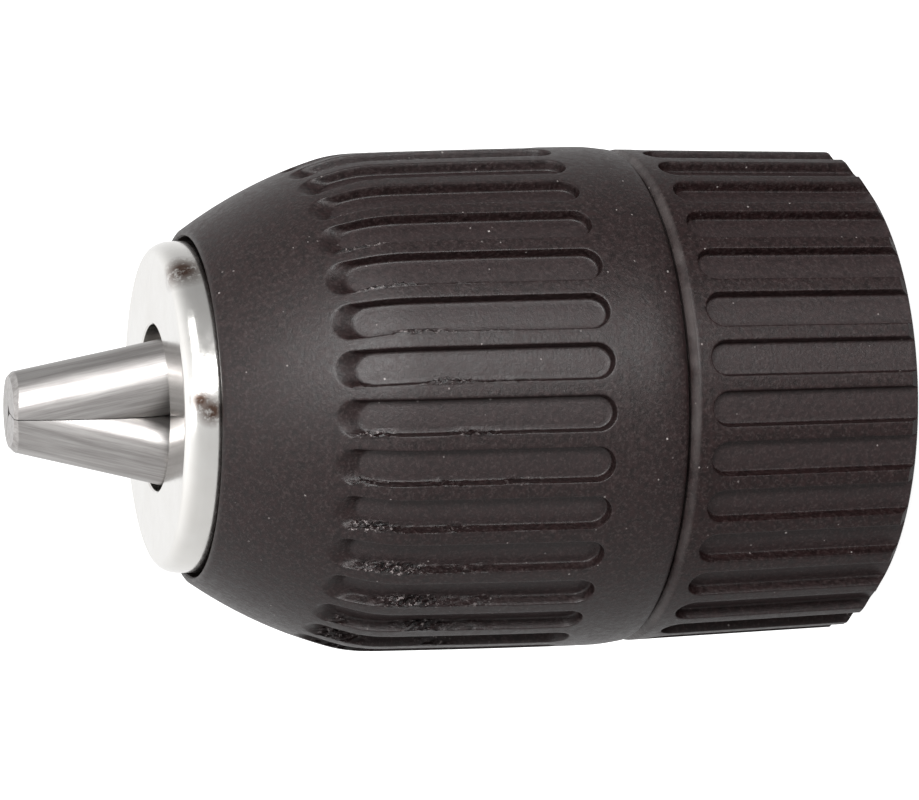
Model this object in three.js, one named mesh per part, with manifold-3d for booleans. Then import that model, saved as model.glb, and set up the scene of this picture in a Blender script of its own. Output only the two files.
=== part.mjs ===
// Two-sleeve, hand-tightened keyless drill chuck.
// Millimetres. +Z runs along the chuck's axis towards the nose, and the origin is the centre of
// the steel body's rear face, on which the chuck stands. The jaws are closed.
import * as THREE from "three";
import { mergeVertices } from "three/addons/utils/BufferGeometryUtils.js";
import Module from "manifold-3d";

const wasm = await Module();
wasm.setup();

// ---- driving dimensions ----
const ROUND_STEPS = 64; // sides of a full turn
const INNER_STEPS = 40; // the same for the hidden pieces
const BAR_STEPS = 24; // sides of a jaw and of its bore
const GAP = 0.3; // between parts that turn against each other

const SLEEVE_REAR_Z = 1.0;
const PARTING_Z = 21.4; // where the rear sleeve ends and the front sleeve starts
const SHOULDER_Z = 46.6; // where the front sleeve bends in to its ogive
const LIP_Z = 58.8; // front edge of the front sleeve
const NOSE_Z = 61.55; // flat front face of the steel body
const TIP_Z = 73.7; // closed jaw tips

const SLEEVE_R = 21.55;
const OGIVE_DEG = [16.5, 36]; // the ogive's slope at the shoulder and at the lip
const LIP_R = 14.8;
const LIP_BORE_R = 14.3;
const NOSE_R = 13.9;
const NOSE_EDGE_R = 1.1; // rounding of the nose's front edge
const REAR_SLEEVE_R = 20.95; // at its rear edge
const REAR_SLEEVE_TAPER = 0.35; // how much wider its front edge is
const REAR_RIM_R = 19.8; // where its rear edge's bevel starts
const REAR_WALL_R = 18.9; // inside its wall
const RECESS_R = [15.4, 18.4]; // the ring-shaped recess in its rear web
const RECESS_DEPTH = 2.2;

const GROOVE_COUNT = 32;
const GROOVE_WIDTH = 2.9;
const GROOVE_DEPTH = 0.95;
const GROOVE_PHASE_DEG = -3.8; // turns both sleeves' grooves off the -Y direction
const FRONT_GROOVE_Z = [27.9, 50.6];
const FRONT_RAMP_Z = 48.7; // where the floor starts to rise to the groove's front end
const REAR_GROOVE_TOP_Z = 19.5; // the rear sleeve's grooves run out of its rear edge

const JAW_R = 3.2;
const JAW_BORE_R = 3.45;
const JAW_ANGLE_DEG = 15;
const JAW_LENGTH = 39.3;
const JAW_TRAVEL = 20.1; // along the jaw's own axis
const JAW_AZIMUTHS_DEG = [-43, 77, -163];
const TIP_FACE_R = 2.95;
const SEAM_HALF_GAP = 0.06; // half the gap between two closed jaws
const JAW_LAND_X = 0.35; // the gripping edge's flat, off the chuck's axis

const THREAD_PITCH = 1.5; // axial
const THREAD_DEPTH = 0.6;
const THREAD_START = 14.6; // along the jaw, from its tip
const THREAD_CURVE_R = 13; // the nut's radius at the jaw's outer flank

const SOCKET_R = 5.8; // tapping size of the half-inch spindle thread
const SOCKET_DEPTH = 15.5;
const SCREW_HOLE_R = 3.3;
const CAVITY_Z = 20;
const CAVITY_R = 5.5;
const MOUTH_R = 7;
const MOUTH_DEPTH = 2.5;

const HUB_R = 13;
const HUB_TOP_Z = 5.8;
const REAR_BODY_R = 14.4;
const COLLAR_R = 17.9;
const COLLAR_REAR_Z = 25.2;
const COLLAR_FRONT_Z = 29.4;
const NUT_GROOVE_R = 10.9;
const NUT_GROOVE_FRONT_Z = 39.8;

const BEARING_R = 17.9; // outer radius of the races
const RACE_BORE_R = 15.3;
const WASHER_BORE_R = 14.5;
const CAGE_BORE_R = 14.95;
const CAGE_HALF_HEIGHT = 0.62;
const POCKET_PLAY = 0.14; // round each ball in the cage
const RACE_THICKNESS = 1.18;
const BALL_R = 1.1;
const BALL_COUNT = 16;
const BALL_CIRCLE_R = 16.5;
const NUT_REAR_Z = 34.1;
const NUT_HEIGHT = 5;
const NUT_R = 16.6;
const RING_R = 18.1;
const SLEEVE_BORE_R = 18.2;
const NOSE_CAVITY_R = 16.4; // inside the front sleeve, ahead of the nut

const SIN = Math.sin(THREE.MathUtils.degToRad(JAW_ANGLE_DEG));
const COS = Math.cos(THREE.MathUtils.degToRad(JAW_ANGLE_DEG));
const BALL_Z = COLLAR_FRONT_Z + RACE_THICKNESS + BALL_R + 0.06;
const WASHER_Z = BALL_Z + BALL_R + 0.04;

// ---- colours ----
const NYLON = { color: 0x3c3432, roughness: 0.55, metalness: 0 };
const POLISHED = { color: 0xd9d8d4, roughness: 0.18, metalness: 1 };
const GROUND = { color: 0xb4b1ac, roughness: 0.32, metalness: 1 };
const DARK_STEEL = { color: 0x6f6c68, roughness: 0.45, metalness: 1 };
const BALL_STEEL = { color: 0xcfd0d2, roughness: 0.12, metalness: 1 };

// ---- helpers ----
function toSolid(geometry) {
  geometry.deleteAttribute("normal");
  geometry.deleteAttribute("uv");
  const merged = mergeVertices(geometry, 1e-4);
  const vertProperties = merged.attributes.position.array;
  const triVerts = new Uint32Array(merged.index.array);
  return new wasm.Manifold(new wasm.Mesh({ numProp: 3, vertProperties, triVerts }));
}

function toGeometry(solid) {
  const mesh = solid.getMesh();
  const geometry = new THREE.BufferGeometry();
  geometry.setAttribute("position", new THREE.BufferAttribute(mesh.vertProperties, 3));
  geometry.setIndex(new THREE.BufferAttribute(mesh.triVerts, 1));
  const flat = geometry.toNonIndexed();
  flat.computeVertexNormals();
  return flat;
}

// A solid of revolution about Z from [radius, z] points, counter-clockwise with z up.
function turned(profile, steps = ROUND_STEPS) {
  const points = profile.map(([r, z]) => new THREE.Vector2(r, z));
  return toSolid(new THREE.LatheGeometry(points, steps).rotateX(Math.PI / 2));
}

// A hidden ring of rectangular section.
function ring(inner, outer, low, high) {
  const profile = [
    [inner, low],
    [outer, low],
    [outer, high],
    [inner, high],
    [inner, low],
  ];
  return turned(profile, INNER_STEPS);
}

// A block between two corners.
function block([x0, y0, z0], [x1, y1, z1]) {
  const box = new THREE.BoxGeometry(x1 - x0, y1 - y0, z1 - z0);
  return toSolid(box.translate((x0 + x1) / 2, (y0 + y1) / 2, (z0 + z1) / 2));
}

// Points of an arc in the [radius, z] plane.
function arc([r, z], radius, fromDeg, toDeg, steps) {
  return Array.from({ length: steps + 1 }, (_, i) => {
    const angle = THREE.MathUtils.degToRad(fromDeg + ((toDeg - fromDeg) * i) / steps);
    return [r + radius * Math.cos(angle), z + radius * Math.sin(angle)];
  });
}

function named(name, solid, look) {
  const material = new THREE.MeshStandardMaterial(look);
  const mesh = new THREE.Mesh(toGeometry(solid), material);
  mesh.name = name;
  return mesh;
}

// A round bar whose axis crosses the chuck's axis at the jaw tips and leans out towards +X.
// Its ends are measured along it from the tip, and its rear end has a chamfer.
function jawBar(radius, from, to, chamfer, azimuth = 0) {
  const profile = [
    [0, -to],
    [radius - chamfer, -to],
    [radius, -to + chamfer],
    [radius, -from],
    [0, -from],
  ];
  const points = profile.map(([r, z]) => new THREE.Vector2(r, z));
  const bar = new THREE.LatheGeometry(points, BAR_STEPS).rotateX(Math.PI / 2);
  bar.rotateY(THREE.MathUtils.degToRad(-JAW_ANGLE_DEG)).translate(0, 0, TIP_Z);
  return toSolid(bar.rotateZ(THREE.MathUtils.degToRad(azimuth)));
}

// ---- body ----
function bodyBlank() {
  return turned([
    [0, 0],
    [HUB_R - 0.6, 0],
    [HUB_R, 0.6],
    [HUB_R, HUB_TOP_Z],
    [REAR_BODY_R, HUB_TOP_Z],
    [REAR_BODY_R, COLLAR_REAR_Z - 1.5],
    [COLLAR_R, COLLAR_REAR_Z],
    [COLLAR_R, COLLAR_FRONT_Z],
    [NUT_GROOVE_R, COLLAR_FRONT_Z],
    [NUT_GROOVE_R, NUT_GROOVE_FRONT_Z],
    [NOSE_R - 0.4, NUT_GROOVE_FRONT_Z],
    [NOSE_R, NUT_GROOVE_FRONT_Z + 0.4],
    ...arc([NOSE_R - NOSE_EDGE_R, NOSE_Z - NOSE_EDGE_R], NOSE_EDGE_R, 0, 90, 4),
    [0, NOSE_Z],
  ]);
}

function socket() {
  const profile = [
    [0, -1],
    [SOCKET_R + 1.7, -1],
    [SOCKET_R, 0.7],
    [SOCKET_R, SOCKET_DEPTH],
    [SCREW_HOLE_R, SOCKET_DEPTH],
    [SCREW_HOLE_R, CAVITY_Z],
    [CAVITY_R, CAVITY_Z],
    [CAVITY_R, NOSE_Z - MOUTH_DEPTH],
    [MOUTH_R, NOSE_Z - MOUTH_DEPTH],
    [MOUTH_R, NOSE_Z + 1],
    [0, NOSE_Z + 1],
  ];
  return turned(profile, INNER_STEPS);
}

function jawBores() {
  const far = JAW_LENGTH + JAW_TRAVEL + 0.8;
  return JAW_AZIMUTHS_DEG.map((azimuth) => jawBar(JAW_BORE_R, -2, far, 0.4, azimuth));
}

function chuckBody() {
  let solid = bodyBlank().subtract(socket());
  for (const bore of jawBores()) solid = solid.subtract(bore);
  return solid;
}

// ---- jaws ----
// The 120 degree sector that a closed jaw may fill, with the flat of its gripping edge.
function jawSector() {
  const apex = SEAM_HALF_GAP / Math.sin(Math.PI / 3);
  const far = 40;
  const half = (x) => (x - apex) * Math.sqrt(3);
  const outline = new THREE.Shape([
    new THREE.Vector2(JAW_LAND_X, -half(JAW_LAND_X)),
    new THREE.Vector2(far, -half(far)),
    new THREE.Vector2(far, half(far)),
    new THREE.Vector2(JAW_LAND_X, half(JAW_LAND_X)),
  ]);
  return toSolid(new THREE.ExtrudeGeometry(outline, { depth: 100, bevelEnabled: false }));
}

// Everything behind the tip face, with the tip's edge chamfer.
function tipEnvelope() {
  const reach = 60;
  return turned([
    [0, TIP_Z - reach],
    [TIP_FACE_R + reach, TIP_Z - reach],
    [TIP_FACE_R, TIP_Z],
    [0, TIP_Z],
  ]);
}

// One groove of the jaw's thread. Its crest line meets the jaw's outer flank at the given distance
// from the tip, and it is curved to the nut's radius there.
function threadGroove(distance) {
  const root = THREAD_CURVE_R - THREAD_DEPTH;
  const flankX = distance * SIN + JAW_R * COS;
  const flankZ = TIP_Z - distance * COS + JAW_R * SIN;
  const outer = THREAD_CURVE_R + 2;
  const half = 0.25 + (outer - root) * Math.tan(Math.PI / 6);
  const profile = [
    [root, -0.25],
    [outer, -half],
    [outer, half],
    [root, 0.25],
    [root, -0.25],
  ];
  const points = profile.map(([r, z]) => new THREE.Vector2(r, z));
  const cutter = new THREE.LatheGeometry(points, INNER_STEPS).rotateX(Math.PI / 2);
  return toSolid(cutter.translate(flankX - THREAD_CURVE_R, 0, flankZ));
}

// The three jaws' threads are a third of a pitch apart, so that one nut thread drives them all.
function jaw(index) {
  let solid = jawBar(JAW_R, -2, JAW_LENGTH, 0.5).intersect(jawSector()).intersect(tipEnvelope());
  const step = THREAD_PITCH / COS;
  for (let at = THREAD_START + (index * step) / 3; at < JAW_LENGTH + 1; at += step) {
    solid = solid.subtract(threadGroove(at));
  }
  return solid;
}

// ---- nut ----
// The cone just outside the jaws' flanks, at height z.
const flankCone = (z) => (TIP_Z - z) * (SIN / COS) + JAW_R / COS + 0.18;

function nutBlank() {
  const top = NUT_REAR_Z + NUT_HEIGHT;
  const inner = [];
  const ridges = 3;
  const step = NUT_HEIGHT / ridges;
  for (let i = 0; i < ridges; i += 1) {
    const z = top - i * step;
    inner.push([flankCone(z) + THREAD_DEPTH, z]);
    inner.push([flankCone(z - step / 2), z - step * 0.4]);
    inner.push([flankCone(z - step / 2), z - step * 0.6]);
  }
  const rearInner = [flankCone(NUT_REAR_Z) + THREAD_DEPTH, NUT_REAR_Z];
  return turned([rearInner, [NUT_R, NUT_REAR_Z], [NUT_R, top], ...inner, rearInner], INNER_STEPS);
}

function nutHalf(side) {
  const low = side > 0 ? 0.1 : -30;
  const high = side > 0 ? 30 : -0.1;
  return nutBlank().intersect(block([-30, low, 0], [30, high, 60]));
}

function nutRing() {
  const top = NUT_REAR_Z + NUT_HEIGHT + 0.1;
  const profile = [
    [NUT_R + 0.08, NUT_REAR_Z],
    [RING_R, NUT_REAR_Z],
    [RING_R, top + 1],
    [NOSE_R + 0.6, top + 1],
    [NOSE_R + 0.6, top],
    [NUT_R + 0.08, top],
    [NUT_R + 0.08, NUT_REAR_Z],
  ];
  return turned(profile, INNER_STEPS);
}

// ---- thrust bearing ----
function raceRing() {
  return ring(RACE_BORE_R, BEARING_R, COLLAR_FRONT_Z + 0.02, COLLAR_FRONT_Z + RACE_THICKNESS);
}

function thrustWasher() {
  return ring(WASHER_BORE_R, BEARING_R, WASHER_Z, NUT_REAR_Z - 0.05);
}

function ballCage() {
  const pocketR = BALL_R + POCKET_PLAY;
  let solid = ring(CAGE_BORE_R, BEARING_R, BALL_Z - CAGE_HALF_HEIGHT, BALL_Z + CAGE_HALF_HEIGHT);
  for (let i = 0; i < BALL_COUNT; i += 1) {
    const angle = (i * 2 * Math.PI) / BALL_COUNT;
    const pocket = new THREE.CylinderGeometry(pocketR, pocketR, 3, 12).rotateX(Math.PI / 2);
    const at = [BALL_CIRCLE_R * Math.cos(angle), BALL_CIRCLE_R * Math.sin(angle), BALL_Z];
    solid = solid.subtract(toSolid(pocket.translate(...at)));
  }
  return solid;
}

function ball(index) {
  const angle = (index * 2 * Math.PI) / BALL_COUNT;
  const look = new THREE.MeshStandardMaterial(BALL_STEEL);
  const mesh = new THREE.Mesh(new THREE.SphereGeometry(BALL_R, 10, 7), look);
  mesh.name = `ball_${String(index + 1).padStart(2, "0")}`;
  mesh.position.set(BALL_CIRCLE_R * Math.cos(angle), BALL_CIRCLE_R * Math.sin(angle), BALL_Z);
  return mesh;
}

// ---- sleeves ----
// The outside of the front sleeve, from its rear edge to its lip, less a depth.
function frontOutline(depth) {
  const [bendDeg, lipDeg] = OGIVE_DEG;
  const lean = (deg) => THREE.MathUtils.degToRad(deg);
  const span = LIP_Z - SHOULDER_Z;
  const radius = span / (Math.sin(lean(lipDeg)) - Math.sin(lean(bendDeg)));
  const centreR = LIP_R - radius * Math.cos(lean(lipDeg));
  const centreZ = LIP_Z - radius * Math.sin(lean(lipDeg));
  const ogive = arc([centreR, centreZ], radius - depth, bendDeg, lipDeg, 6);
  return [
    [SLEEVE_R - 0.25 - depth, PARTING_Z + GAP / 2 + 0.3],
    [SLEEVE_R - depth, PARTING_Z + 3],
    [SLEEVE_R - 0.03 - depth, 31],
    [SLEEVE_R - 0.35 - depth, SHOULDER_Z - 2.6],
    ...ogive,
  ];
}

function frontBlank() {
  const rear = PARTING_Z + GAP / 2;
  return turned([
    [SLEEVE_BORE_R, rear],
    [SLEEVE_R - 0.55, rear],
    ...frontOutline(0),
    [LIP_BORE_R, LIP_Z + 0.1],
    [LIP_BORE_R, LIP_Z - 5],
    [NOSE_CAVITY_R, LIP_Z - 11],
    [NOSE_CAVITY_R, NUT_REAR_Z + NUT_HEIGHT + 1.2],
    [SLEEVE_BORE_R, NUT_REAR_Z + NUT_HEIGHT + 1.2],
    [SLEEVE_BORE_R, rear],
  ]);
}

// A round-ended slot cutter that points out along +X, between two heights.
function slotCutter(low, high) {
  const half = GROOVE_WIDTH / 2;
  const outline = new THREE.Shape();
  outline.absarc(0, high - half, half, 0, Math.PI, false);
  outline.absarc(0, low + half, half, Math.PI, 2 * Math.PI, false);
  const cutter = new THREE.ExtrudeGeometry(outline, { depth: 8, bevelEnabled: false, curveSegments: 2 });
  const axes = [new THREE.Vector3(0, 1, 0), new THREE.Vector3(0, 0, 1), new THREE.Vector3(1, 0, 0)];
  cutter.applyMatrix4(new THREE.Matrix4().makeBasis(...axes)).translate(SLEEVE_BORE_R - 1.2, 0, 0);
  return cutter;
}

// All the grooves of one sleeve: slots all round, down to the floor's solid of revolution.
function grooves(low, high, floor) {
  const cutters = Array.from({ length: GROOVE_COUNT }, (_, i) => {
    const turn = (i * 2 * Math.PI) / GROOVE_COUNT - Math.PI / 2;
    return toSolid(slotCutter(low, high).rotateZ(turn));
  });
  return cutters.map((cutter) => cutter.subtract(floor));
}

function frontSleeve() {
  const [grooveStart, grooveEnd] = FRONT_GROOVE_Z;
  const under = frontOutline(GROOVE_DEPTH).filter(([, z]) => z < FRONT_RAMP_Z - 0.6);
  const floor = turned([
    [0, 20],
    [SLEEVE_R - 0.25 - GROOVE_DEPTH, 20],
    ...under,
    [19.05, FRONT_RAMP_Z],
    [20.6, grooveEnd + 0.6],
    [0, grooveEnd + 0.6],
  ]);
  let solid = frontBlank();
  for (const groove of grooves(grooveStart, grooveEnd, floor)) solid = solid.subtract(groove);
  return solid;
}

function rearSleeve() {
  const front = PARTING_Z - GAP / 2;
  const boreR = HUB_R + 0.04;
  const length = front - SLEEVE_REAR_Z;
  const outerAt = (z) => REAR_SLEEVE_R + (REAR_SLEEVE_TAPER * (z - SLEEVE_REAR_Z)) / length;
  const blank = turned([
    [boreR, SLEEVE_REAR_Z + 0.2],
    [RECESS_R[0], SLEEVE_REAR_Z + 0.2],
    [RECESS_R[0], SLEEVE_REAR_Z + RECESS_DEPTH],
    [RECESS_R[1], SLEEVE_REAR_Z + RECESS_DEPTH],
    [RECESS_R[1], SLEEVE_REAR_Z],
    [REAR_RIM_R, SLEEVE_REAR_Z],
    [outerAt(SLEEVE_REAR_Z) + 0.02, SLEEVE_REAR_Z + 0.9],
    [outerAt(front), front - 0.4],
    [outerAt(front) - 0.4, front],
    [REAR_WALL_R, front],
    [REAR_WALL_R, HUB_TOP_Z],
    [boreR, HUB_TOP_Z - 0.05],
    [boreR, SLEEVE_REAR_Z + 0.2],
  ]);
  const floor = turned([
    [0, -6],
    [outerAt(0) - GROOVE_DEPTH, -6],
    [outerAt(front) - GROOVE_DEPTH, front + 2],
    [0, front + 2],
  ]);
  let solid = blank;
  for (const groove of grooves(-4, REAR_GROOVE_TOP_Z, floor)) solid = solid.subtract(groove);
  return solid;
}

// ---- assembly ----
const chuck = new THREE.Group();
chuck.add(named("chuck_body", chuckBody(), POLISHED));
chuck.add(named("race_ring", raceRing(), DARK_STEEL));
chuck.add(named("thrust_washer", thrustWasher(), DARK_STEEL));
chuck.add(named("ball_cage", ballCage(), DARK_STEEL));
chuck.add(named("nut_half_a", nutHalf(1), DARK_STEEL));
chuck.add(named("nut_half_b", nutHalf(-1), DARK_STEEL));
chuck.add(named("nut_ring", nutRing(), DARK_STEEL));
for (let i = 0; i < BALL_COUNT; i += 1) chuck.add(ball(i));

JAW_AZIMUTHS_DEG.forEach((azimuth, i) => {
  const mesh = named(`jaw_${i + 1}`, jaw(i), GROUND);
  mesh.rotation.z = THREE.MathUtils.degToRad(azimuth);
  chuck.add(mesh);
});

const sleeves = new THREE.Group();
sleeves.rotation.z = THREE.MathUtils.degToRad(GROOVE_PHASE_DEG);
sleeves.add(named("front_sleeve", frontSleeve(), NYLON));
sleeves.add(named("rear_sleeve", rearSleeve(), NYLON));
chuck.add(sleeves);

export default chuck;
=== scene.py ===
"""Looks for the keyless drill chuck: high-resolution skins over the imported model, studio and camera."""
import math
import random

import bmesh
import bpy
from mathutils import Matrix, Vector


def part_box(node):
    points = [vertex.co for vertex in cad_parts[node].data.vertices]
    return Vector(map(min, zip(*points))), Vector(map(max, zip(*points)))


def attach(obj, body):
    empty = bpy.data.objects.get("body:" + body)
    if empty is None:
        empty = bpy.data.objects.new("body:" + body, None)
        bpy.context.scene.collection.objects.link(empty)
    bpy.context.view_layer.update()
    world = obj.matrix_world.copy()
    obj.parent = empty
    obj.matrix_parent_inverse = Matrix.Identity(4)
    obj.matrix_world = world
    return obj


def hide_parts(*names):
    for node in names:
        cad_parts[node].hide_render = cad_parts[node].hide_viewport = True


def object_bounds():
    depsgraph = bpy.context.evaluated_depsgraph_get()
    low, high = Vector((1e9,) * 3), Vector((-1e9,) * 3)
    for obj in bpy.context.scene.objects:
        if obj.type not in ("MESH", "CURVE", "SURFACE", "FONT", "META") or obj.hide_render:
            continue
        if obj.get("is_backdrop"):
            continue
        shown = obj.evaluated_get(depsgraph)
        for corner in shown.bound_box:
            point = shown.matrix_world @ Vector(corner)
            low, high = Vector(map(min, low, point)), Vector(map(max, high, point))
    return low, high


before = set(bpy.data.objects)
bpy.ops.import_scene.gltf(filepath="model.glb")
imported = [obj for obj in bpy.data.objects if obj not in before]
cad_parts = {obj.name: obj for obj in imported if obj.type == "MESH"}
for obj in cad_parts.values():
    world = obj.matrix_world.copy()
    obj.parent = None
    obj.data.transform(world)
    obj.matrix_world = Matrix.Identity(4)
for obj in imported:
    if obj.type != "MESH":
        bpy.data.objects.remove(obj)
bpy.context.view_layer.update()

MM = 0.001

# ---- sizes in millimetres, as in the CAD ----
SLEEVE_REAR_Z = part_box("rear_sleeve")[0].z / MM
REAR_FRONT_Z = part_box("rear_sleeve")[1].z / MM
FRONT_REAR_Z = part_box("front_sleeve")[0].z / MM
LIP_Z = 58.8  # front edge of the front sleeve
NOSE_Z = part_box("chuck_body")[1].z / MM
TIP_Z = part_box("jaw_1")[1].z / MM

# The front sleeve, from its rear edge to its lip.
SLEEVE_R = 21.52
WIDEST_Z = 24.4
REAR_EDGE_DROP = 0.28
SHOULDER_Z = 46.6
SHOULDER_DROP = 0.33
BEND_Z = (43.4, SHOULDER_Z + 0.6)
OGIVE_DEG = (16.5, 36.0)
LIP_R = 14.8
LIP_BORE_R = 14.3
LIP_ROUND = 0.35
SLEEVE_BORE_R = 18.2
NOSE_CAVITY_R = 16.4
STEP_Z = 40.3  # where the bore narrows to the nose cavity
EDGE_ROUND = 0.4  # height of its rounded rear edge

# The rear sleeve.
REAR_R = 20.95
REAR_TAPER = 0.33
REAR_RIM_R = 19.8
REAR_BEVEL = 0.95
REAR_WALL_R = 18.9
WEB_R = (13.04, 17.9)
RECESS_R = (15.4, 18.4)
RECESS_DEPTH = 2.2
RIM_STEP = 0.2  # how far the web's rear face stands in from the rim

GROOVES = 32
HALF_SECTOR = math.pi / GROOVES
PHASE = math.radians(-3.8)
SLOT_R = 1.45
SLOT_DEPTH = 0.95
FRONT_SLOT = (27.9, 50.6)
FRONT_RAMP = 1.75
REAR_SLOT_END = 19.5

# The steel body.
SOCKET_R = 5.8
SOCKET_FLOOR_Z = 15.5
SOCKET_RIDGES = 11
SOCKET_PITCH = 1.27
SCREW_HOLE_R = 3.3
CAVITY_R = 5.5
CAVITY_Z = 20.0
HUB_R = 13.0
HUB_TOP_Z = 5.8
REAR_BODY_R = 14.4
COLLAR_R = 17.9
COLLAR_FRONT_Z = 29.4
NUT_GROOVE_R = 10.9
NUT_GROOVE_FRONT_Z = 39.8
NOSE_R = 13.9
NOSE_CROWN = (1.1, 1.7)  # how far the rim's round reaches inwards and rearwards
MOUTH_R = 7.0

# Brown patches on the nose's rim: their places in millimetres and their sizes.
BROWN_PATCHES = [((-0.4, -13.9, 59.5), 1.5), ((0.5, -13.8, 60.4), 1.0), ((11.2, -8.2, 60.4), 2.4)]

# The jaws; distances along a jaw start at its tip.
JAW_AZIMUTHS = (-43.0, 77.0, -163.0)
JAW_LEAN = math.radians(15)
JAW_R = 3.2
JAW_LENGTH = 39.3
JAW_BORE_R = 3.45
JAW_BORE_LENGTH = 60.2
SEAM_HALF_GAP = 0.035
JAW_LAND_X = 0.33
TIP_FACE_R = 2.98
THREAD_PITCH = 1.5  # axial
THREAD_DEPTH = 0.6
THREAD_START = 14.6
THREAD_CURVE_R = 13.0

# The bearing and the nut's jacket.
BEARING_R = 17.9
RACE_BORE_R = 15.3
WASHER_BORE_R = 14.5
RING_CHAMFER = 0.12
CAGE_BORE_R = 14.95
POCKET_R = 1.24
BALL_R = 1.1
BALLS = 16
JACKET_R = (16.68, 18.1)
JACKET_MOUTH_R = 14.5
JACKET_WALL = 1.0


# ---- light and view ----
# The white tent's brightness towards each side, and soft lamps: turned from the camera's side
# towards +X in degrees, raised in degrees, their power in watts, and their size in metres.
TENT = {("X", 1): 0.45, ("X", -1): 0.9, ("Y", 1): 1.08, ("Y", -1): 0.78, ("Z", 1): 1.6, ("Z", -1): 0.06}
LAMPS = [
    (22, 8, 4.3, 0.17, 0.56),
    (20, 22, 0.5, 0.16, 0.16),
    (0, 45, 0.35, 0.26, 0.26),
    (50, 20, 0.5, 0.26, 0.26),
]
LAMP_DISTANCE = 0.6
LAMP_TARGET = Vector((0, 0, 0.037))
CAMERA_PLACE = (-0.07, -288.4, 117.6)
CAMERA_TILT = math.radians(16)
CAMERA_ROLL = -0.0278
CAMERA_LENS = 137.1
FLOOR_Z = -0.0002
FLOOR_SIZE = 3.0


# ---- mesh helpers ----
def mesh_object(name, verts, faces, material, crease_deg=32.0):
    """An object from points in millimetres, smooth except over sharp edges."""
    mesh = bpy.data.meshes.new(name)
    mesh.from_pydata([(x * MM, y * MM, z * MM) for x, y, z in verts], [], faces)
    mesh.validate()
    mesh.shade_smooth()
    mesh.set_sharp_from_angle(angle=math.radians(crease_deg))
    mesh.materials.append(material)
    obj = bpy.data.objects.new(name, mesh)
    bpy.context.scene.collection.objects.link(obj)
    return obj


def weld(obj, distance=0.0006, crease_deg=32.0):
    """Merges the doubled points of a patchwork and drops its empty faces."""
    bm = bmesh.new()
    bm.from_mesh(obj.data)
    bmesh.ops.remove_doubles(bm, verts=bm.verts, dist=distance * MM)
    bmesh.ops.dissolve_degenerate(bm, edges=bm.edges, dist=distance * MM)
    bmesh.ops.recalc_face_normals(bm, faces=bm.faces)
    bm.to_mesh(obj.data)
    bm.free()
    obj.data.shade_smooth()
    obj.data.set_sharp_from_angle(angle=math.radians(crease_deg))
    return obj


def arc(centre, radius, from_deg, to_deg, steps):
    """Points of an arc in the (radius, z) plane."""
    turn = [math.radians(from_deg + (to_deg - from_deg) * i / steps) for i in range(steps + 1)]
    return [(centre[0] + radius * math.cos(a), centre[1] + radius * math.sin(a)) for a in turn]


def lathe(profile, steps, closed=False):
    """Points and faces of a profile of (radius, z) turned about Z."""
    verts = []
    for r, z in profile:
        for i in range(steps):
            a = 2 * math.pi * i / steps
            verts.append((r * math.cos(a), r * math.sin(a), z))
    faces = []
    rows = len(profile) if closed else len(profile) - 1
    for row in range(rows):
        low = row * steps
        high = ((row + 1) % len(profile)) * steps
        for i in range(steps):
            j = (i + 1) % steps
            faces.append((low + i, low + j, high + j, high + i))
    return verts, faces


def stand_in(obj, body, node):
    """Puts a piece on its body in a CAD node's place, and hides that node."""
    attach(obj, body)
    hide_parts(node)
    return obj


# ---- sleeve skins ----
def hermite(x, x0, y0, slope0, x1, y1, slope1):
    """A smooth curve between two points with given slopes."""
    span = x1 - x0
    t = (x - x0) / span
    a = y0 * (2 * t**3 - 3 * t**2 + 1) + y1 * (3 * t**2 - 2 * t**3)
    return a + span * (slope0 * (t**3 - 2 * t**2 + t) + slope1 * (t**3 - t**2))


def ogive_circle():
    """The ogive's arc: its centre's radius and height, and its own radius."""
    start, end = (math.radians(a) for a in OGIVE_DEG)
    radius = (LIP_Z - SHOULDER_Z) / (math.sin(end) - math.sin(start))
    return LIP_R - radius * math.cos(end), LIP_Z - radius * math.sin(end), radius


def front_radius(z):
    """The front sleeve's outside radius at height z."""
    cr, cz, radius = ogive_circle()
    low, high = BEND_Z
    shoulder_r = SLEEVE_R - SHOULDER_DROP
    if z < WIDEST_Z:
        return hermite(z, FRONT_REAR_Z, SLEEVE_R - REAR_EDGE_DROP, 0.12, WIDEST_Z, SLEEVE_R, 0.0)
    if z < low:
        return SLEEVE_R - SHOULDER_DROP * ((z - WIDEST_Z) / (low - WIDEST_Z)) ** 1.6
    if z < high:
        reach = math.sqrt(radius**2 - (high - cz) ** 2)
        return hermite(z, low, shoulder_r, -0.028, high, cr + reach, -(high - cz) / reach)
    return cr + math.sqrt(radius**2 - (z - cz) ** 2)


def rear_radius(z):
    """The rear sleeve's outside radius at height z."""
    return REAR_R + REAR_TAPER * (z - SLEEVE_REAR_Z) / (REAR_FRONT_Z - SLEEVE_REAR_Z)


# Offsets out of the slot's wall line and the depth there: a small round at the rim, a steep
# drafted wall, and a small fillet at the floor.
RIM = [(0.38, 0.0), (0.17, 0.0), (0.09, 0.008), (0.045, 0.035), (0.02, 0.09)]
WALL = [(-0.01, 0.3), (-0.04, 0.62), (-0.06, 0.8)]
FLOOR = [(-0.09, 0.875), (-0.15, 0.925), (-0.25, SLOT_DEPTH), (-0.6, SLOT_DEPTH), (-1.05, SLOT_DEPTH)]
SECTION = RIM + WALL + FLOOR
# How far each ring of a slot follows its torn edge; ring 0 is the sector's edge.
TORN_ROWS = {row: 1.0 for row in range(3, 11)} | {11: 0.85, 12: 0.3}
END_STEPS = 16


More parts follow.
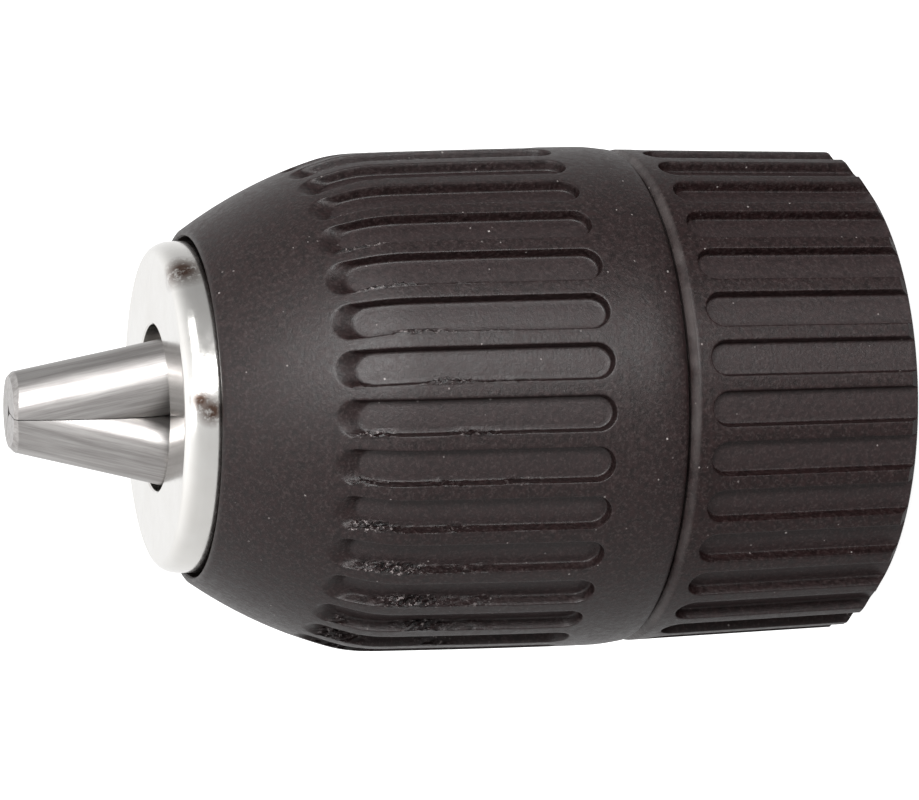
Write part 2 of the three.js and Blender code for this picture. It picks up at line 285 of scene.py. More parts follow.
def tearing(z, groove):
    """How torn a groove's trailing edge is at height z, from 0 to 1; worst towards the nose."""
    along = 0.5 + 0.5 * math.sin(z * 0.61 + groove * 1.7) * math.sin(z * 0.23 + groove * 2.9 + 1.0)
    forward = min(1.0, max(0.0, (z - FRONT_SLOT[0] - 5) / 9.0))
    return min(1.0, 1.5 * along * along) * forward


def ragged(z, groove):
    """How far, in mm, the trailing edge stands into its groove."""
    source = random.Random(1000 * groove + round(z * 20))
    return 0.42 * tearing(z, groove) * (source.random() - 0.15)


def half_turn():
    """The angles of the points round one end of a slot."""
    return [math.pi * i / END_STEPS for i in range(END_STEPS + 1)]


def groove_middle(groove):
    """The angle of a groove's middle line."""
    return PHASE - math.pi / 2 + 2 * HALF_SECTOR * groove


def half_width(outside, z):
    """Half the width of a groove's sector at height z."""
    return outside(z) * HALF_SECTOR


def sector_edge(outside, centre, angle, sign):
    """The point (u, z, depth) of a sector's edge that lies at an angle from a slot end's centre."""
    across, along = abs(math.cos(angle)), abs(math.sin(angle))
    reach = half_width(outside, centre) / max(across, along)
    z = centre + sign * reach * math.sin(angle)
    if across >= along - 1e-9:
        return math.copysign(half_width(outside, z), math.cos(angle)), z, 0.0
    return half_width(outside, z) * math.cos(angle) / along, z, 0.0


def seam_angles():
    """The angles of the points along the sectors' ends, all round the sleeve."""
    ends = [a for a in half_turn() if abs(math.cos(a)) <= abs(math.sin(a)) + 1e-9]
    turn = sorted((math.cos(a) / math.sin(a)) * HALF_SECTOR for a in ends)
    return [groove_middle(k) + t for k in range(GROOVES) for t in turn[:-1]]


def stitch(faces, base, rows, count, closed=True):
    """Adds the faces between rows of points that start at a given point."""
    for row in range(rows - 1):
        a, b = base + row * count, base + (row + 1) * count
        for i in range(count if closed else count - 1):
            j = (i + 1) % count
            faces.append((a + i, a + j, b + j, b + i))


def add_turned(verts, faces, profile):
    """Adds a profile of (radius, z) that meets the grooved sectors' ends point to point."""
    base, angles = len(verts), seam_angles()
    for r, z in profile:
        verts += [(r * math.cos(a), r * math.sin(a), z) for a in angles]
    stitch(faces, base, len(profile), len(angles))


def slot_rings(low, high, sides, ramp, outside, open_rear=False):
    """The rings of points (u, z, depth) round one slot, from the sector's edge to its middle line.

    low and high are the centres of its round ends, sides are the heights of the points along its
    straight sides, and ramp is how far the floor's front end stands back from its rim.
    """
    edge = [sector_edge(outside, high, a, 1) for a in half_turn()]
    edge += [(-half_width(outside, z), z, 0.0) for z in reversed(sides)]
    if not open_rear:
        edge += [sector_edge(outside, low, a, -1) for a in reversed(half_turn())]
        edge += [(half_width(outside, z), z, 0.0) for z in sides]
    rings = [edge]
    for out, depth in SECTION + [(-SLOT_R, SLOT_DEPTH)]:
        r = SLOT_R + out
        back = ramp * min(1.0, depth / SLOT_DEPTH) ** 0.9
        front = high - back
        ring = [(r * math.cos(a), front + r * math.sin(a), depth) for a in half_turn()]
        ring += [(-r, z - back * (z - low) / (high - low), depth) for z in reversed(sides)]
        if not open_rear:
            ring += [(r * math.cos(a), low - r * math.sin(a), depth) for a in reversed(half_turn())]
            ring += [(r, z - back * (z - low) / (high - low), depth) for z in sides]
        rings.append(ring)
    return rings


def front_profile(low, high):
    """The front sleeve's outline beyond its grooves: ogive, lip, bore, rear edge and rear band."""
    top = high + half_width(front_radius, high)
    bottom = low - half_width(front_radius, low)
    lip_z, start = LIP_Z - LIP_ROUND, FRONT_REAR_Z + EDGE_ROUND
    lip_r = front_radius(lip_z)
    rows = [(front_radius(z), z) for z in (top + (lip_z - top) * i / 14 for i in range(15))]
    rows += [(lip_r - 0.12, LIP_Z - 0.17), (lip_r - 0.3, LIP_Z - 0.05), (LIP_BORE_R + 0.28, LIP_Z)]
    rows += [(LIP_BORE_R + 0.1, LIP_Z - 0.05), (LIP_BORE_R, LIP_Z - 0.2), (LIP_BORE_R, LIP_Z - 5)]
    rows += [(NOSE_CAVITY_R, LIP_Z - 11), (NOSE_CAVITY_R, STEP_Z), (SLEEVE_BORE_R, STEP_Z)]
    rows += [(SLEEVE_BORE_R, FRONT_REAR_Z + 0.3), (SLEEVE_BORE_R + 0.3, FRONT_REAR_Z)]
    rows += [(SLEEVE_R - 0.75, FRONT_REAR_Z), (SLEEVE_R - 0.52, FRONT_REAR_Z + 0.04)]
    rows += [(SLEEVE_R - 0.36, FRONT_REAR_Z + 0.15)]
    return rows + [(front_radius(z), z) for z in (start + (bottom - start) * i / 8 for i in range(9))]


def front_sleeve_skin(material):
    """The front sleeve's whole closed surface, with how torn and how deep each groove point is."""
    low, high = FRONT_SLOT[0] + SLOT_R, FRONT_SLOT[1] - SLOT_R
    sides = [low + (high - low) * i / 64 for i in range(1, 64)]
    rings = slot_rings(low, high, sides, FRONT_RAMP, front_radius)
    verts, faces, wear, floor = [], [], [], []
    for k in range(GROOVES):
        base = len(verts)
        for row, ring in enumerate(rings):
            torn = TORN_ROWS.get(row, 0.0)
            for u, z, depth in ring:
                outside = front_radius(z)
                trailing = torn if u < -SLOT_R * 0.8 and low < z < high else 0.0
                wear.append(trailing * tearing(z, k))
                floor.append(float(depth == SLOT_DEPTH))
                u += trailing * ragged(z, k)
                angle = groove_middle(k) + u / outside
                radius = outside - depth
                verts.append((radius * math.cos(angle), radius * math.sin(angle), z))
        stitch(faces, base, len(rings), len(rings[0]))
    add_turned(verts, faces, front_profile(low, high))
    obj = mesh_object("front_sleeve_skin", verts, faces, material)
    keep(obj.data, "torn", wear)
    keep(obj.data, "floor", floor)
    return weld(obj)


def keep(mesh, name, values):
    """Keeps a number for each of the mesh's first points, and 0 for the rest."""
    kept = mesh.attributes.new(name, "FLOAT", "POINT")
    kept.data.foreach_set("value", values + [0.0] * (len(mesh.vertices) - len(values)))


def rear_profile(high):
    """The rear sleeve's outline beyond its grooves: front band, rim, wall, web, recess and rear rim."""
    top = high + half_width(rear_radius, high)
    rim = rear_radius(REAR_FRONT_Z)
    web_z, recess_z = SLEEVE_REAR_Z + RIM_STEP, SLEEVE_REAR_Z + RECESS_DEPTH
    web_inner, web_outer = WEB_R
    inner, outer = RECESS_R
    rows = [(rear_radius(z), z) for z in (top, top + 0.3, REAR_FRONT_Z - 0.62)]
    rows += [(rim - 0.05, REAR_FRONT_Z - 0.52), (rim - 0.5, REAR_FRONT_Z - 0.08), (rim - 0.6, REAR_FRONT_Z)]
    rows += [(REAR_WALL_R + 0.3, REAR_FRONT_Z), (REAR_WALL_R, REAR_FRONT_Z - 0.3)]
    rows += [(REAR_WALL_R, HUB_TOP_Z + 1), (web_outer, HUB_TOP_Z)]
    rows += [(web_inner + 0.26, HUB_TOP_Z - 0.05), (web_inner, HUB_TOP_Z - 0.3)]
    rows += [(web_inner, web_z + 0.3), (web_inner + 0.26, web_z)]
    rows += [(inner - 0.25, web_z), (inner, web_z + 0.25), (inner, recess_z - 0.3)]
    rows += [(inner + 0.3, recess_z), (outer - 0.3, recess_z), (outer, recess_z - 0.3)]
    return rows + [(outer, web_z), (outer + 0.2, SLEEVE_REAR_Z), (REAR_RIM_R, SLEEVE_REAR_Z)]


def rear_sleeve_skin(material):
    """The rear sleeve's grooved outside, and its rim, web and inside."""
    high = REAR_SLOT_END - SLOT_R
    bevel_steps = (0.0, 0.16, 0.34, 0.52, 0.7, 0.86, 0.95, 1.04, 1.3)
    straight = SLEEVE_REAR_Z + bevel_steps[-1]
    sides = [SLEEVE_REAR_Z + t for t in bevel_steps]
    sides += [straight + (high - straight) * i / 14 for i in range(1, 14)]
    rings = slot_rings(SLEEVE_REAR_Z, high, sides, 0.0, rear_radius, open_rear=True)
    right = [[(-u, z, depth) for u, z, depth in ring[END_STEPS + 1:]][::-1] for ring in rings]
    rings = [r + ring for r, ring in zip(right, rings)]
    verts, faces, floor = [], [], []
    for k in range(GROOVES):
        base = len(verts)
        for ring in rings:
            for u, z, depth in ring:
                outside = rear_radius(z)
                angle = groove_middle(k) + u / outside
                bevel = min(1.0, max(0.0, (z - SLEEVE_REAR_Z) / REAR_BEVEL))
                radius = min(outside - depth, REAR_RIM_R + (outside - REAR_RIM_R) * bevel)
                verts.append((radius * math.cos(angle), radius * math.sin(angle), z))
                floor.append(float(depth == SLOT_DEPTH))
        stitch(faces, base, len(rings), len(rings[0]), closed=False)
    add_turned(verts, faces, rear_profile(high))
    obj = mesh_object("rear_sleeve_skin", verts, faces, material)
    keep(obj.data, "floor", floor)
    return weld(obj)


# ---- steel skins ----
def cut(obj, cutter, operation="DIFFERENCE"):
    """Cuts or intersects one mesh with another, which is then removed."""
    modifier = obj.modifiers.new("cut", "BOOLEAN")
    modifier.operation = operation
    modifier.solver = "EXACT"
    modifier.object = cutter
    bpy.context.view_layer.update()
    evaluated = obj.evaluated_get(bpy.context.evaluated_depsgraph_get())
    carved = bpy.data.meshes.new_from_object(evaluated)
    obj.modifiers.clear()
    obj.data = carved
    bpy.data.objects.remove(cutter)
    return obj


def flat_shaded_faces(obj, crease_deg=28.0):
    """Smooth shading that keeps large flat faces flat."""
    obj.data.shade_smooth()
    obj.data.set_sharp_from_angle(angle=math.radians(crease_deg))
    modifier = obj.modifiers.new("normals", "WEIGHTED_NORMAL")
    modifier.keep_sharp = True
    modifier.weight = 80
    return obj


def turned_piece(name, profile, steps, material, closed=False):
    """A lathe-turned object; an open profile starts and ends on the axis."""
    return weld(mesh_object(name, *lathe(profile, steps, closed), material))


def jaw_bar(name, radius, near, far, chamfer, material, azimuth=0.0, steps=96):
    """A round bar that leans out from the jaw tips' crossing point."""
    profile = [(0, -far), (radius - chamfer, -far), (radius, -far + chamfer), (radius, -near), (0, -near)]
    obj = turned_piece(name, profile, steps, material)
    lean = Matrix.Rotation(math.radians(azimuth), 4, "Z") @ Matrix.Translation((0, 0, TIP_Z * MM))
    obj.data.transform(lean @ Matrix.Rotation(-JAW_LEAN, 4, "Y"))
    return obj


def body_outside():
    """The steel body's outline from its rear face to its crowned nose."""
    inset, drop = NOSE_CROWN
    outline = [(SOCKET_R + 0.15, 0.45), (SOCKET_R + 0.65, 0.0), (HUB_R - 0.65, 0.0), (HUB_R - 0.4, 0.08)]
    outline += [(HUB_R - 0.08, 0.4), (HUB_R, 0.65), (HUB_R, HUB_TOP_Z), (REAR_BODY_R, HUB_TOP_Z)]
    outline += [(REAR_BODY_R, 23.7), (COLLAR_R - 0.3, 24.9), (COLLAR_R, 25.3)]
    outline += [(COLLAR_R, COLLAR_FRONT_Z - 0.2), (COLLAR_R - 0.2, COLLAR_FRONT_Z)]
    outline += [(NUT_GROOVE_R, COLLAR_FRONT_Z), (NUT_GROOVE_R, NUT_GROOVE_FRONT_Z)]
    outline += [(NOSE_R - 0.4, NUT_GROOVE_FRONT_Z), (NOSE_R, NUT_GROOVE_FRONT_Z + 0.4)]
    crown = [math.radians(90 * i / 20) for i in range(21)]
    rounded = [(NOSE_R - inset * (1 - math.cos(a)), NOSE_Z - drop * (1 - math.sin(a))) for a in crown]
    return outline + rounded


def body_inside():
    """Its outline from the mouth down to the ridges in the spindle socket."""
    outline = [(MOUTH_R + 0.12, NOSE_Z), (MOUTH_R, NOSE_Z - 0.12), (MOUTH_R - 0.15, NOSE_Z - 2.5)]
    outline += [(CAVITY_R, NOSE_Z - 2.9), (CAVITY_R, CAVITY_Z + 0.3), (CAVITY_R - 0.3, CAVITY_Z)]
    outline += [(SCREW_HOLE_R, CAVITY_Z), (SCREW_HOLE_R, SOCKET_FLOOR_Z + 0.1)]
    outline += [(SOCKET_R - 0.05, SOCKET_FLOOR_Z - 0.1)]
    for i in range(SOCKET_RIDGES):
        ridge = 14.6 - SOCKET_PITCH * i
        outline += [(SOCKET_R, ridge + 0.2), (SOCKET_R + 0.5, ridge - 0.18)]
        outline += [(SOCKET_R + 0.5, ridge - 0.45), (SOCKET_R, ridge - 0.83)]
    return outline


def body_skin(material):
    """The steel body: hub, collar, nut groove, nose, spindle socket, cavity and the three jaw bores."""
    obj = turned_piece("chuck_body_skin", body_outside() + body_inside(), 256, material, closed=True)
    for azimuth in JAW_AZIMUTHS:
        cut(obj, jaw_bar("bore", JAW_BORE_R, -2, JAW_BORE_LENGTH, 0.4, material, azimuth))
    return flat_shaded_faces(obj)


def wedge(material):
    """A prism with the section of one jaw's gripping wedge, which stands on the chuck's axis."""
    far, top = 30.0, 90.0
    apex = SEAM_HALF_GAP / math.sin(math.pi / 3)
    near_y, far_y = ((x - apex) * math.sqrt(3) for x in (JAW_LAND_X, far))
    corners = [(JAW_LAND_X, -near_y), (far, -far_y), (far, far_y), (JAW_LAND_X, near_y)]
    verts = [(x, y, z) for z in (0.0, top) for x, y in corners]
    faces = [(3, 2, 1, 0), (4, 5, 6, 7)] + [(i, (i + 1) % 4, (i + 1) % 4 + 4, i + 4) for i in range(4)]
    return mesh_object("wedge", verts, faces, material)


def tip_cone(material):
    """What the closed jaws' tips fit in: a flat face with a small edge, and a 45 degree cone."""
    reach, edge = 50.0, 0.12
    outline = [(0, TIP_Z - reach), (TIP_FACE_R + reach, TIP_Z - reach)]
    outline += [(TIP_FACE_R + edge, TIP_Z - edge), (TIP_FACE_R, TIP_Z), (0, TIP_Z)]
    return turned_piece("tip", outline, 192, material)


def thread_groove(along, material):
    """The cutter for one groove of a jaw's thread, this far along the jaw."""
    flank_x = along * math.sin(JAW_LEAN) + JAW_R * math.cos(JAW_LEAN)
    flank_z = TIP_Z - along * math.cos(JAW_LEAN) + JAW_R * math.sin(JAW_LEAN)
    root, out = THREAD_CURVE_R - THREAD_DEPTH, THREAD_CURVE_R + 1.2
    narrow = 0.22
    wide = narrow + (out - root) * math.tan(math.radians(27))
    ring = [(root, flank_z - narrow), (out, flank_z - wide), (out, flank_z + wide), (root, flank_z + narrow)]
    cutter = turned_piece("groove", ring, 160, material, closed=True)
    cutter.data.transform(Matrix.Translation(((flank_x - THREAD_CURVE_R) * MM, 0, 0)))
    return cutter


def jaw_skin(index, material):
    """One jaw: a leaning bar cut to its gripping wedge, its tip face and its thread."""
    obj = jaw_bar(f"jaw_{index + 1}_skin", JAW_R, -2, JAW_LENGTH, 0.5, material)
    cut(obj, wedge(material), "INTERSECT")
    cut(obj, tip_cone(material), "INTERSECT")
    step = THREAD_PITCH / math.cos(JAW_LEAN)
    along = THREAD_START + index * step / 3
    while along < JAW_LENGTH + 1:
        cut(obj, thread_groove(along, material))
        along += step
    along_bar(obj.data)
    obj.data.transform(Matrix.Rotation(math.radians(JAW_AZIMUTHS[index]), 4, "Z"))
    return flat_shaded_faces(obj)


def along_bar(mesh):
    """Keeps each point's place in the jaw's own frame, where Z runs along the bar."""
    to_bar = Matrix.Rotation(JAW_LEAN, 4, "Y") @ Matrix.Translation((0, 0, -TIP_Z * MM))
    kept = mesh.attributes.new("bar_place", "FLOAT_VECTOR", "POINT")
    for i, vertex in enumerate(mesh.vertices):
        kept.data[i].vector = to_bar @ vertex.co


# ---- hidden steel pieces ----
def ring_piece(name, inner, outer, low, high, material):
    """A flat ring with small chamfers on its four edges."""
    c = RING_CHAMFER
    profile = [(inner, low + c), (inner + c, low), (outer - c, low), (outer, low + c)]
    profile += [(outer, high - c), (outer - c, high), (inner + c, high), (inner, high - c)]
    return flat_shaded_faces(turned_piece(name, profile, 160, material, closed=True))


def ball_place(index):
    """The centre of a ball, in metres."""
    lo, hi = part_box(f"ball_{index + 1:02d}")
    return (lo + hi) / 2


def ball_skin(index, material):
    """One ball, finer than the CAD's."""
    bm = bmesh.new()
    bmesh.ops.create_icosphere(bm, subdivisions=4, radius=BALL_R * MM)
    bm.transform(Matrix.Translation(ball_place(index)))
    mesh = bpy.data.meshes.new(f"ball_{index + 1:02d}_skin")
    bm.to_mesh(mesh)
    bm.free()
    mesh.shade_smooth()
    mesh.materials.append(material)
    obj = bpy.data.objects.new(mesh.name, mesh)
    bpy.context.scene.collection.objects.link(obj)
    return obj


def cage_skin(material):
    """The pressed cage: a flat ring with a round pocket for each ball."""
    lo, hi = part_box("ball_cage")
    obj = ring_piece("cage_skin", CAGE_BORE_R, BEARING_R, lo.z / MM, hi.z / MM, material)
    for i in range(BALLS):
        pocket = turned_piece("pocket", [(0, -2), (POCKET_R, -2), (POCKET_R, 2), (0, 2)], 48, material)
        pocket.data.transform(Matrix.Translation(ball_place(i)))
        obj.modifiers.clear()
        cut(obj, pocket)
    return flat_shaded_faces(obj)


def jacket_skin(material):
    """The nut's pressed steel jacket: a cylinder with a rolled front lip."""
    lo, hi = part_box("nut_ring")
    rear, front = lo.z / MM, hi.z / MM
    inner, outer = JACKET_R
    shelf = front - JACKET_WALL
    profile = [(inner, rear + 0.2), (inner + 0.22, rear), (outer - 0.2, rear), (outer, rear + 0.2)]
    profile += arc((outer - JACKET_WALL, shelf), JACKET_WALL, 0, 90, 8)
    profile += [(JACKET_MOUTH_R + 0.15, front), (JACKET_MOUTH_R, front - 0.15)]
    profile += [(JACKET_MOUTH_R, shelf + 0.1), (JACKET_MOUTH_R + 0.1, shelf), (inner, shelf)]
    return flat_shaded_faces(turned_piece("jacket_skin", profile, 160, material, closed=True))


# ---- materials ----
def new_material(name):
    """A new material, its nodes, its links and its shader."""
    material = bpy.data.materials.new(name)
    material.use_nodes = True
    nodes = material.node_tree.nodes
    return material, nodes, material.node_tree.links, nodes["Principled BSDF"]


def place_of(nodes, name=None, output="Vector"):
    """Coordinates that stay with the piece: its own, or what a kept attribute says."""
    if name:
        kept = nodes.new("ShaderNodeAttribute")
        kept.attribute_name = name
        return kept.outputs[output]
    return nodes.new("ShaderNodeTexCoord").outputs["Object"]


def noise(nodes, links, place, scale, detail=3.0, stretch=None, rough=0.6):
    """A noise pattern with about this many features a metre, stretched where its scale is small."""
    if stretch:
        mapping = nodes.new("ShaderNodeMapping")
        mapping.inputs["Scale"].default_value = stretch
        links.new(place, mapping.inputs["Vector"])
        place = mapping.outputs["Vector"]
    pattern = nodes.new("ShaderNodeTexNoise")
    pattern.inputs["Scale"].default_value = scale
    pattern.inputs["Detail"].default_value = detail
    pattern.inputs["Roughness"].default_value = rough
    links.new(place, pattern.inputs["Vector"])
    return pattern.outputs["Fac"]


def remap(nodes, links, value, low, high, to_low=0.0, to_high=1.0):
    """The value moved from one range to another, and clamped."""
    node = nodes.new("ShaderNodeMapRange")
    limits = {"From Min": low, "From Max": high, "To Min": to_low, "To Max": to_high}
    for key, number in limits.items():
        node.inputs[key].default_value = number
    links.new(value, node.inputs["Value"])
    return node.outputs["Result"]


def mixed(nodes, links, factor, first, second):
    """Two colours mixed; each is a colour or a socket."""
    node = nodes.new("ShaderNodeMix")
    node.data_type = "RGBA"
    links.new(factor, node.inputs["Factor"])
    for key, color in ((6, first), (7, second)):
        if isinstance(color, tuple):
            node.inputs[key].default_value = (*color, 1)
        else:
            links.new(color, node.inputs[key])
    return node.outputs[2]


def times(nodes, links, first, second):
    """A value times another value or a number."""
    node = nodes.new("ShaderNodeMath")
    node.operation = "MULTIPLY"
    links.new(first, node.inputs[0])
    if isinstance(second, float):
        node.inputs[1].default_value = second
    else:
        links.new(second, node.inputs[1])
    return node.outputs[0]


def bumped(nodes, links, height, distance_mm, strength, before=None):
    """A normal tilted by a height pattern, on top of another normal if there is one."""
    node = nodes.new("ShaderNodeBump")
    node.inputs["Distance"].default_value = distance_mm * MM
    node.inputs["Strength"].default_value = strength
    links.new(height, node.inputs["Height"])
    if before:
        links.new(before, node.inputs["Normal"])
    return node.outputs["Normal"]


def specks(nodes, links, place, scale, share, size):
    """Small round dots, one in some of the cells of a random pattern."""
    cells = nodes.new("ShaderNodeTexVoronoi")
    cells.inputs["Scale"].default_value = scale
    links.new(place, cells.inputs["Vector"])
    split = nodes.new("ShaderNodeSeparateColor")
    links.new(cells.outputs["Color"], split.inputs[0])
    chosen = remap(nodes, links, split.outputs[0], 1.0 - share, 1.0 - share + 0.01)
    dot = remap(nodes, links, cells.outputs["Distance"], size, size * 0.55)
    return times(nodes, links, chosen, dot)


def painted_chamfer_highlight(nodes, links, place, cloud, base, edge_z):
    """The colour with a painted highlight: a paler, patchy band on the chamfer just below the height of an
    edge, in mm.
    """
    axes = nodes.new("ShaderNodeSeparateXYZ")
    links.new(place, axes.inputs[0])
    above = remap(nodes, links, axes.outputs["Z"], (edge_z - 0.7) * MM, (edge_z - 0.4) * MM)
    below = remap(nodes, links, axes.outputs["Z"], (edge_z + 0.1) * MM, edge_z * MM)
    patches = remap(nodes, links, cloud, 0.4, 0.62, 0.12, 0.55)
    highlight_mask = times(nodes, links, times(nodes, links, above, below), patches)
    return mixed(nodes, links, highlight_mask, base, (0.075, 0.064, 0.062))


def dusted(nodes, links, place, cloud, base):
    """The colour with pale flecks in crowds, and finer ones everywhere."""
    crowd = remap(nodes, links, cloud, 0.42, 0.62)
    flecks = times(nodes, links, specks(nodes, links, place, 1100, 0.09, 0.13), crowd)
    fine = specks(nodes, links, place, 2300, 0.018, 0.22)
    base = mixed(nodes, links, flecks, base, (0.3, 0.27, 0.26))
    return mixed(nodes, links, fine, base, (0.16, 0.14, 0.135))


def shredded_and_shaded(nodes, links, torn, shred, base):
    """The colour with pale crumbs, and painted shade in the hollows, where the plastic is torn."""
    pale = times(nodes, links, torn, remap(nodes, links, shred, 0.59, 0.66))
    # Painted shade: near-black in the torn edge's hollows, where shadow falls.
    painted_shade = times(nodes, links, torn, remap(nodes, links, shred, 0.5, 0.42))
    base = mixed(nodes, links, painted_shade, base, (0.0015, 0.0007, 0.0006))
    return mixed(nodes, links, times(nodes, links, pale, 0.6), base, (0.30, 0.265, 0.26))


def nylon(name, gloss, highlight_edge_z=None):
    """Black glass-filled nylon: fine grain, brown mottling, dust, torn grooves with painted shade in their
    hollows, and maybe a painted highlight on an edge's chamfer.
    """
    material, nodes, links, shader = new_material(name)
    place = place_of(nodes)
    grain = noise(nodes, links, place, 3600, 4.0, rough=0.75)
    pits = noise(nodes, links, place, 1900, 3.0)
    cloud = noise(nodes, links, place, 240, 3.0)
    mottle = remap(nodes, links, pits, 0.35, 0.7)
    base = mixed(nodes, links, mottle, (0.0042, 0.0014, 0.0014), (0.0115, 0.004, 0.004))
    dusty = times(nodes, links, remap(nodes, links, grain, 0.5, 0.68), 0.5)
    base = mixed(nodes, links, dusty, base, (0.046, 0.034, 0.033))
    matte = times(nodes, links, place_of(nodes, "floor", "Fac"), 0.15)
    base = mixed(nodes, links, matte, base, (0.06, 0.048, 0.049))
    if highlight_edge_z:
        # A painted highlight on the chamfer below this edge: a paler, patchy band.
        base = painted_chamfer_highlight(nodes, links, place, cloud, base, highlight_edge_z)
    base = dusted(nodes, links, place, cloud, base)
    torn = place_of(nodes, "torn", "Fac")
    shred = noise(nodes, links, place, 2600, 2.0, rough=0.8)
    links.new(shredded_and_shaded(nodes, links, torn, shred, base), shader.inputs["Base Color"])
    links.new(remap(nodes, links, pits, 0.3, 0.7, 0.36, 0.5), shader.inputs["Roughness"])
    shader.inputs["Specular IOR Level"].default_value = gloss
    normal = bumped(nodes, links, cloud, 0.06, 0.15)
    normal = bumped(nodes, links, pits, 0.05, 0.4, normal)
    normal = bumped(nodes, links, times(nodes, links, torn, shred), 0.2, 0.6, normal)
    links.new(bumped(nodes, links, grain, 0.045, 0.65, normal), shader.inputs["Normal"])
    return material


def steel(name, color, tint, roughness, grain=2600, bump=0.25):
    """A steel finish: colour and roughness that drift, and fine grain."""
    material, nodes, links, shader = new_material(name)
    place = place_of(nodes)
    drift = noise(nodes, links, place, 260, 3.0)
    fine = noise(nodes, links, place, grain, 3.0, rough=0.65)
    base = mixed(nodes, links, remap(nodes, links, drift, 0.35, 0.7), color, tint)
    links.new(base, shader.inputs["Base Color"])
    shader.inputs["Metallic"].default_value = 1.0
    rough = remap(nodes, links, fine, 0.3, 0.7, roughness * 0.8, roughness * 1.25)
    links.new(rough, shader.inputs["Roughness"])
    normal = bumped(nodes, links, drift, 0.02, 0.08)
    links.new(bumped(nodes, links, fine, 0.006, bump, normal), shader.inputs["Normal"])
    return material


def ground_steel():
    """The jaws: ground along the bar, with long fine streaks and a few darker drags."""
    material, nodes, links, shader = new_material("ground_jaw_steel")
    place = place_of(nodes, "bar_place")
    streak = noise(nodes, links, place, 2600, 4.0, (1.0, 1.0, 0.045), 0.7)
    drag = noise(nodes, links, place, 700, 3.0, (1.0, 1.0, 0.12))
    shade = remap(nodes, links, streak, 0.38, 0.66)
    base = mixed(nodes, links, shade, (0.29, 0.275, 0.268), (0.44, 0.425, 0.415))
    worn = times(nodes, links, remap(nodes, links, drag, 0.55, 0.75), 0.3)
    links.new(mixed(nodes, links, worn, base, (0.24, 0.215, 0.205)), shader.inputs["Base Color"])
    shader.inputs["Metallic"].default_value = 1.0
    links.new(remap(nodes, links, drag, 0.3, 0.7, 0.3, 0.42), shader.inputs["Roughness"])
    normal = bumped(nodes, links, drag, 0.01, 0.2)
    links.new(bumped(nodes, links, streak, 0.008, 0.5, normal), shader.inputs["Normal"])
    return material


def plated_nose():
    """Polished nickel plate over turned steel: faint waviness, fine pits and a few brown patches."""
    material, nodes, links, shader = new_material("plated_nose_steel")
    place = place_of(nodes)
    cloud = noise(nodes, links, place, 210, 3.0)
    pits = noise(nodes, links, place, 1700, 3.0, rough=0.7)
    base = mixed(nodes, links, remap(nodes, links, cloud, 0.3, 0.7), (0.73, 0.72, 0.70), (0.68, 0.665, 0.64))
    ragged_edge = remap(nodes, links, pits, 0.28, 0.5)
    for spot, size in BROWN_PATCHES:
        away = nodes.new("ShaderNodeVectorMath")
        away.operation = "DISTANCE"
        links.new(place, away.inputs[0])
        away.inputs[1].default_value = Vector(spot) * MM
        near = remap(nodes, links, away.outputs["Value"], size * MM, size * 0.25 * MM)
        base = mixed(nodes, links, times(nodes, links, near, ragged_edge), base, (0.10, 0.062, 0.047))
    links.new(base, shader.inputs["Base Color"])
    shader.inputs["Metallic"].default_value = 1.0
    links.new(remap(nodes, links, pits, 0.3, 0.75, 0.12, 0.24), shader.inputs["Roughness"])
    normal = bumped(nodes, links, cloud, 0.03, 0.06)
    links.new(bumped(nodes, links, pits, 0.012, 0.16, normal), shader.inputs["Normal"])
    return material


# ---- studio ----
def camera():
    """A long lens that looks a little down on the chuck, turned so that its nose points left."""
    right = Vector((0, -math.sin(CAMERA_TILT), -math.cos(CAMERA_TILT)))
    up = Vector((1, 0, 0))
    back = Vector((0, -math.cos(CAMERA_TILT), math.sin(CAMERA_TILT)))
    turn = Matrix((right, up, back)).transposed().to_4x4() @ Matrix.Rotation(CAMERA_ROLL, 4, "Z")
    data = bpy.data.cameras.new("camera")
    data.lens = CAMERA_LENS
    data.sensor_width = 36
    data.clip_start = 0.01
    data.clip_end = 10
    obj = bpy.data.objects.new("camera", data)
    obj.matrix_world = Matrix.Translation(Vector(CAMERA_PLACE) * MM) @ turn
    bpy.context.scene.collection.objects.link(obj)
    bpy.context.scene.camera = obj


def area_light(name, place, target, size, power):
    """A soft rectangular lamp that points at its target."""
    data = bpy.data.lights.new(name, "AREA")
    data.shape = "RECTANGLE"
    data.size, data.size_y = size
    data.energy = power
    obj = bpy.data.objects.new(name, data)
    obj.location = place
    obj.rotation_mode = "QUATERNION"
    obj.rotation_quaternion = (target - place).to_track_quat("-Z", "Y")
    bpy.context.scene.collection.objects.link(obj)


def studio_world():
    """A white tent: each number is the light from one side."""
    world = bpy.data.worlds.new("studio")
    world.use_nodes = True
    nodes, links = world.node_tree.nodes, world.node_tree.links
    where = nodes.new("ShaderNodeTexCoord")
    axes = nodes.new("ShaderNodeSeparateXYZ")
    links.new(where.outputs["Generated"], axes.inputs[0])
    total = None
    for (axis, sign), light in TENT.items():
        side = remap(nodes, links, axes.outputs[axis], 0.0, float(sign))
        squared = times(nodes, links, side, side)
        part = times(nodes, links, squared, light)
        if total is None:
            total = part
            continue
        add = nodes.new("ShaderNodeMath")
        links.new(total, add.inputs[0])
        links.new(part, add.inputs[1])
        total = add.outputs[0]
    links.new(total, nodes["Background"].inputs["Strength"])
    nodes["Background"].inputs["Color"].default_value = (1, 1, 1, 1)
    bpy.context.scene.world = world


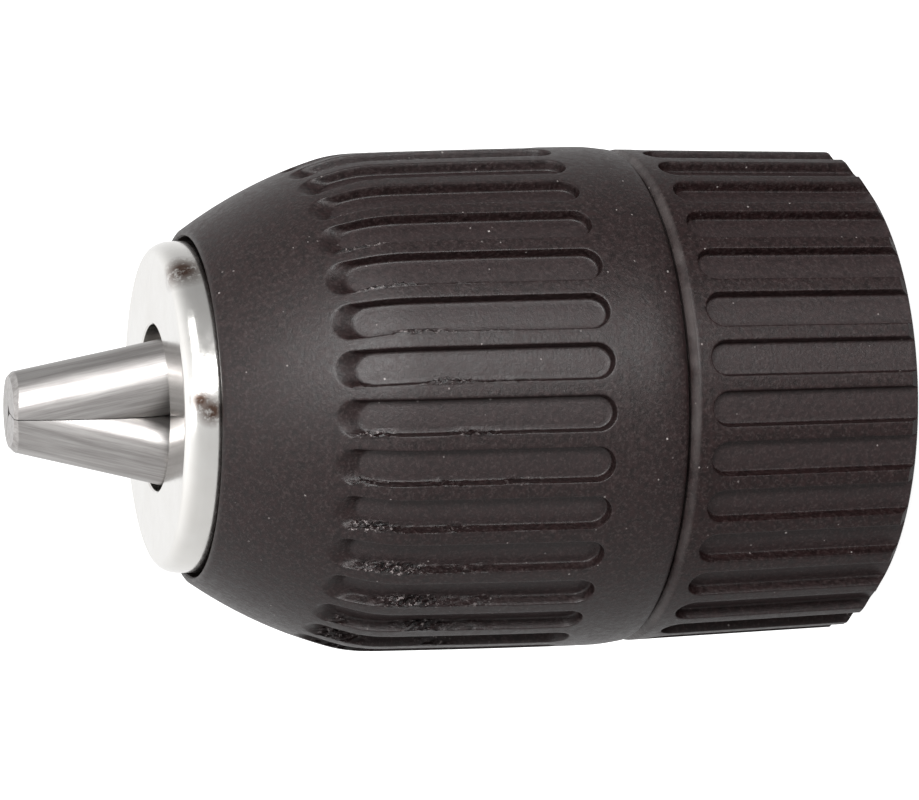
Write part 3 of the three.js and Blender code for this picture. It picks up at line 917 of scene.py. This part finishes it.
def studio_floor():
    """A pale floor just below the chuck, which neither lights nor shades it."""
    corners = ((-1, -1), (1, -1), (1, 1), (-1, 1))
    verts = [(x * FLOOR_SIZE, y * FLOOR_SIZE, FLOOR_Z) for x, y in corners]
    mesh = bpy.data.meshes.new("floor")
    mesh.from_pydata(verts, [], [(0, 1, 2, 3)])
    floor = bpy.data.objects.new("floor", mesh)
    material, _, _, shader = new_material("floor_paper")
    shader.inputs["Base Color"].default_value = (0.5, 0.5, 0.5, 1)
    shader.inputs["Roughness"].default_value = 0.9
    shader.inputs["Emission Color"].default_value = (1, 1, 1, 1)
    shader.inputs["Emission Strength"].default_value = 0.9
    mesh.materials.append(material)
    bpy.context.scene.collection.objects.link(floor)
    floor.visible_glossy = False
    floor.visible_diffuse = False
    floor.visible_shadow = False
    floor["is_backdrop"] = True


def studio():
    """The tent, the floor and the lamps round the chuck."""
    studio_world()
    studio_floor()
    for i, (turn, rise, power, width, height) in enumerate(LAMPS):
        turn, rise = math.radians(turn), math.radians(rise)
        away = Vector((math.sin(turn) * math.cos(rise), -math.cos(turn) * math.cos(rise), math.sin(rise)))
        place = LAMP_TARGET + away * LAMP_DISTANCE
        area_light(f"lamp_{i + 1}", place, LAMP_TARGET, (width, height), power)
    bpy.context.scene.view_settings.view_transform = "Standard"


# ---- assembly ----
camera()
studio()

front_nylon = nylon("front_nylon", 0.34)
# The rear sleeve's nylon has a painted highlight on the chamfer of its front edge.
rear_nylon = nylon("rear_nylon", 0.25, REAR_FRONT_Z)
stand_in(front_sleeve_skin(front_nylon), "turning_sleeve", "front_sleeve")
stand_in(rear_sleeve_skin(rear_nylon), "fixed_body", "rear_sleeve")

nose = plated_nose()
jaws = ground_steel()
stand_in(body_skin(nose), "fixed_body", "chuck_body")
for i, body in enumerate(("jaw_one", "jaw_two", "jaw_three")):
    stand_in(jaw_skin(i, jaws), body, f"jaw_{i + 1}")

race = steel("bearing_race_steel", (0.60, 0.59, 0.57), (0.50, 0.49, 0.47), 0.2)
cage = steel("pressed_cage_steel", (0.42, 0.40, 0.36), (0.34, 0.32, 0.29), 0.38)
oiled = steel("blackened_nut_steel", (0.115, 0.11, 0.105), (0.07, 0.066, 0.062), 0.42, 1800)
bright = steel("polished_ball_steel", (0.74, 0.74, 0.73), (0.68, 0.68, 0.67), 0.09, bump=0.06)
races = (("race_ring", RACE_BORE_R, "fixed_body"), ("thrust_washer", WASHER_BORE_R, "turning_sleeve"))
for name, inner, body in races:
    lo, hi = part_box(name)
    flat = ring_piece(f"{name}_skin", inner, BEARING_R, lo.z / MM, hi.z / MM, race)
    stand_in(flat, body, name)
stand_in(jacket_skin(oiled), "turning_sleeve", "nut_ring")
stand_in(cage_skin(cage), "ball_row", "ball_cage")
for i in range(BALLS):
    stand_in(ball_skin(i, bright), "ball_row", f"ball_{i + 1:02d}")
for name in ("nut_half_a", "nut_half_b"):
    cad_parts[name].data.materials.clear()
    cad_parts[name].data.materials.append(oiled)

lo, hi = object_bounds()
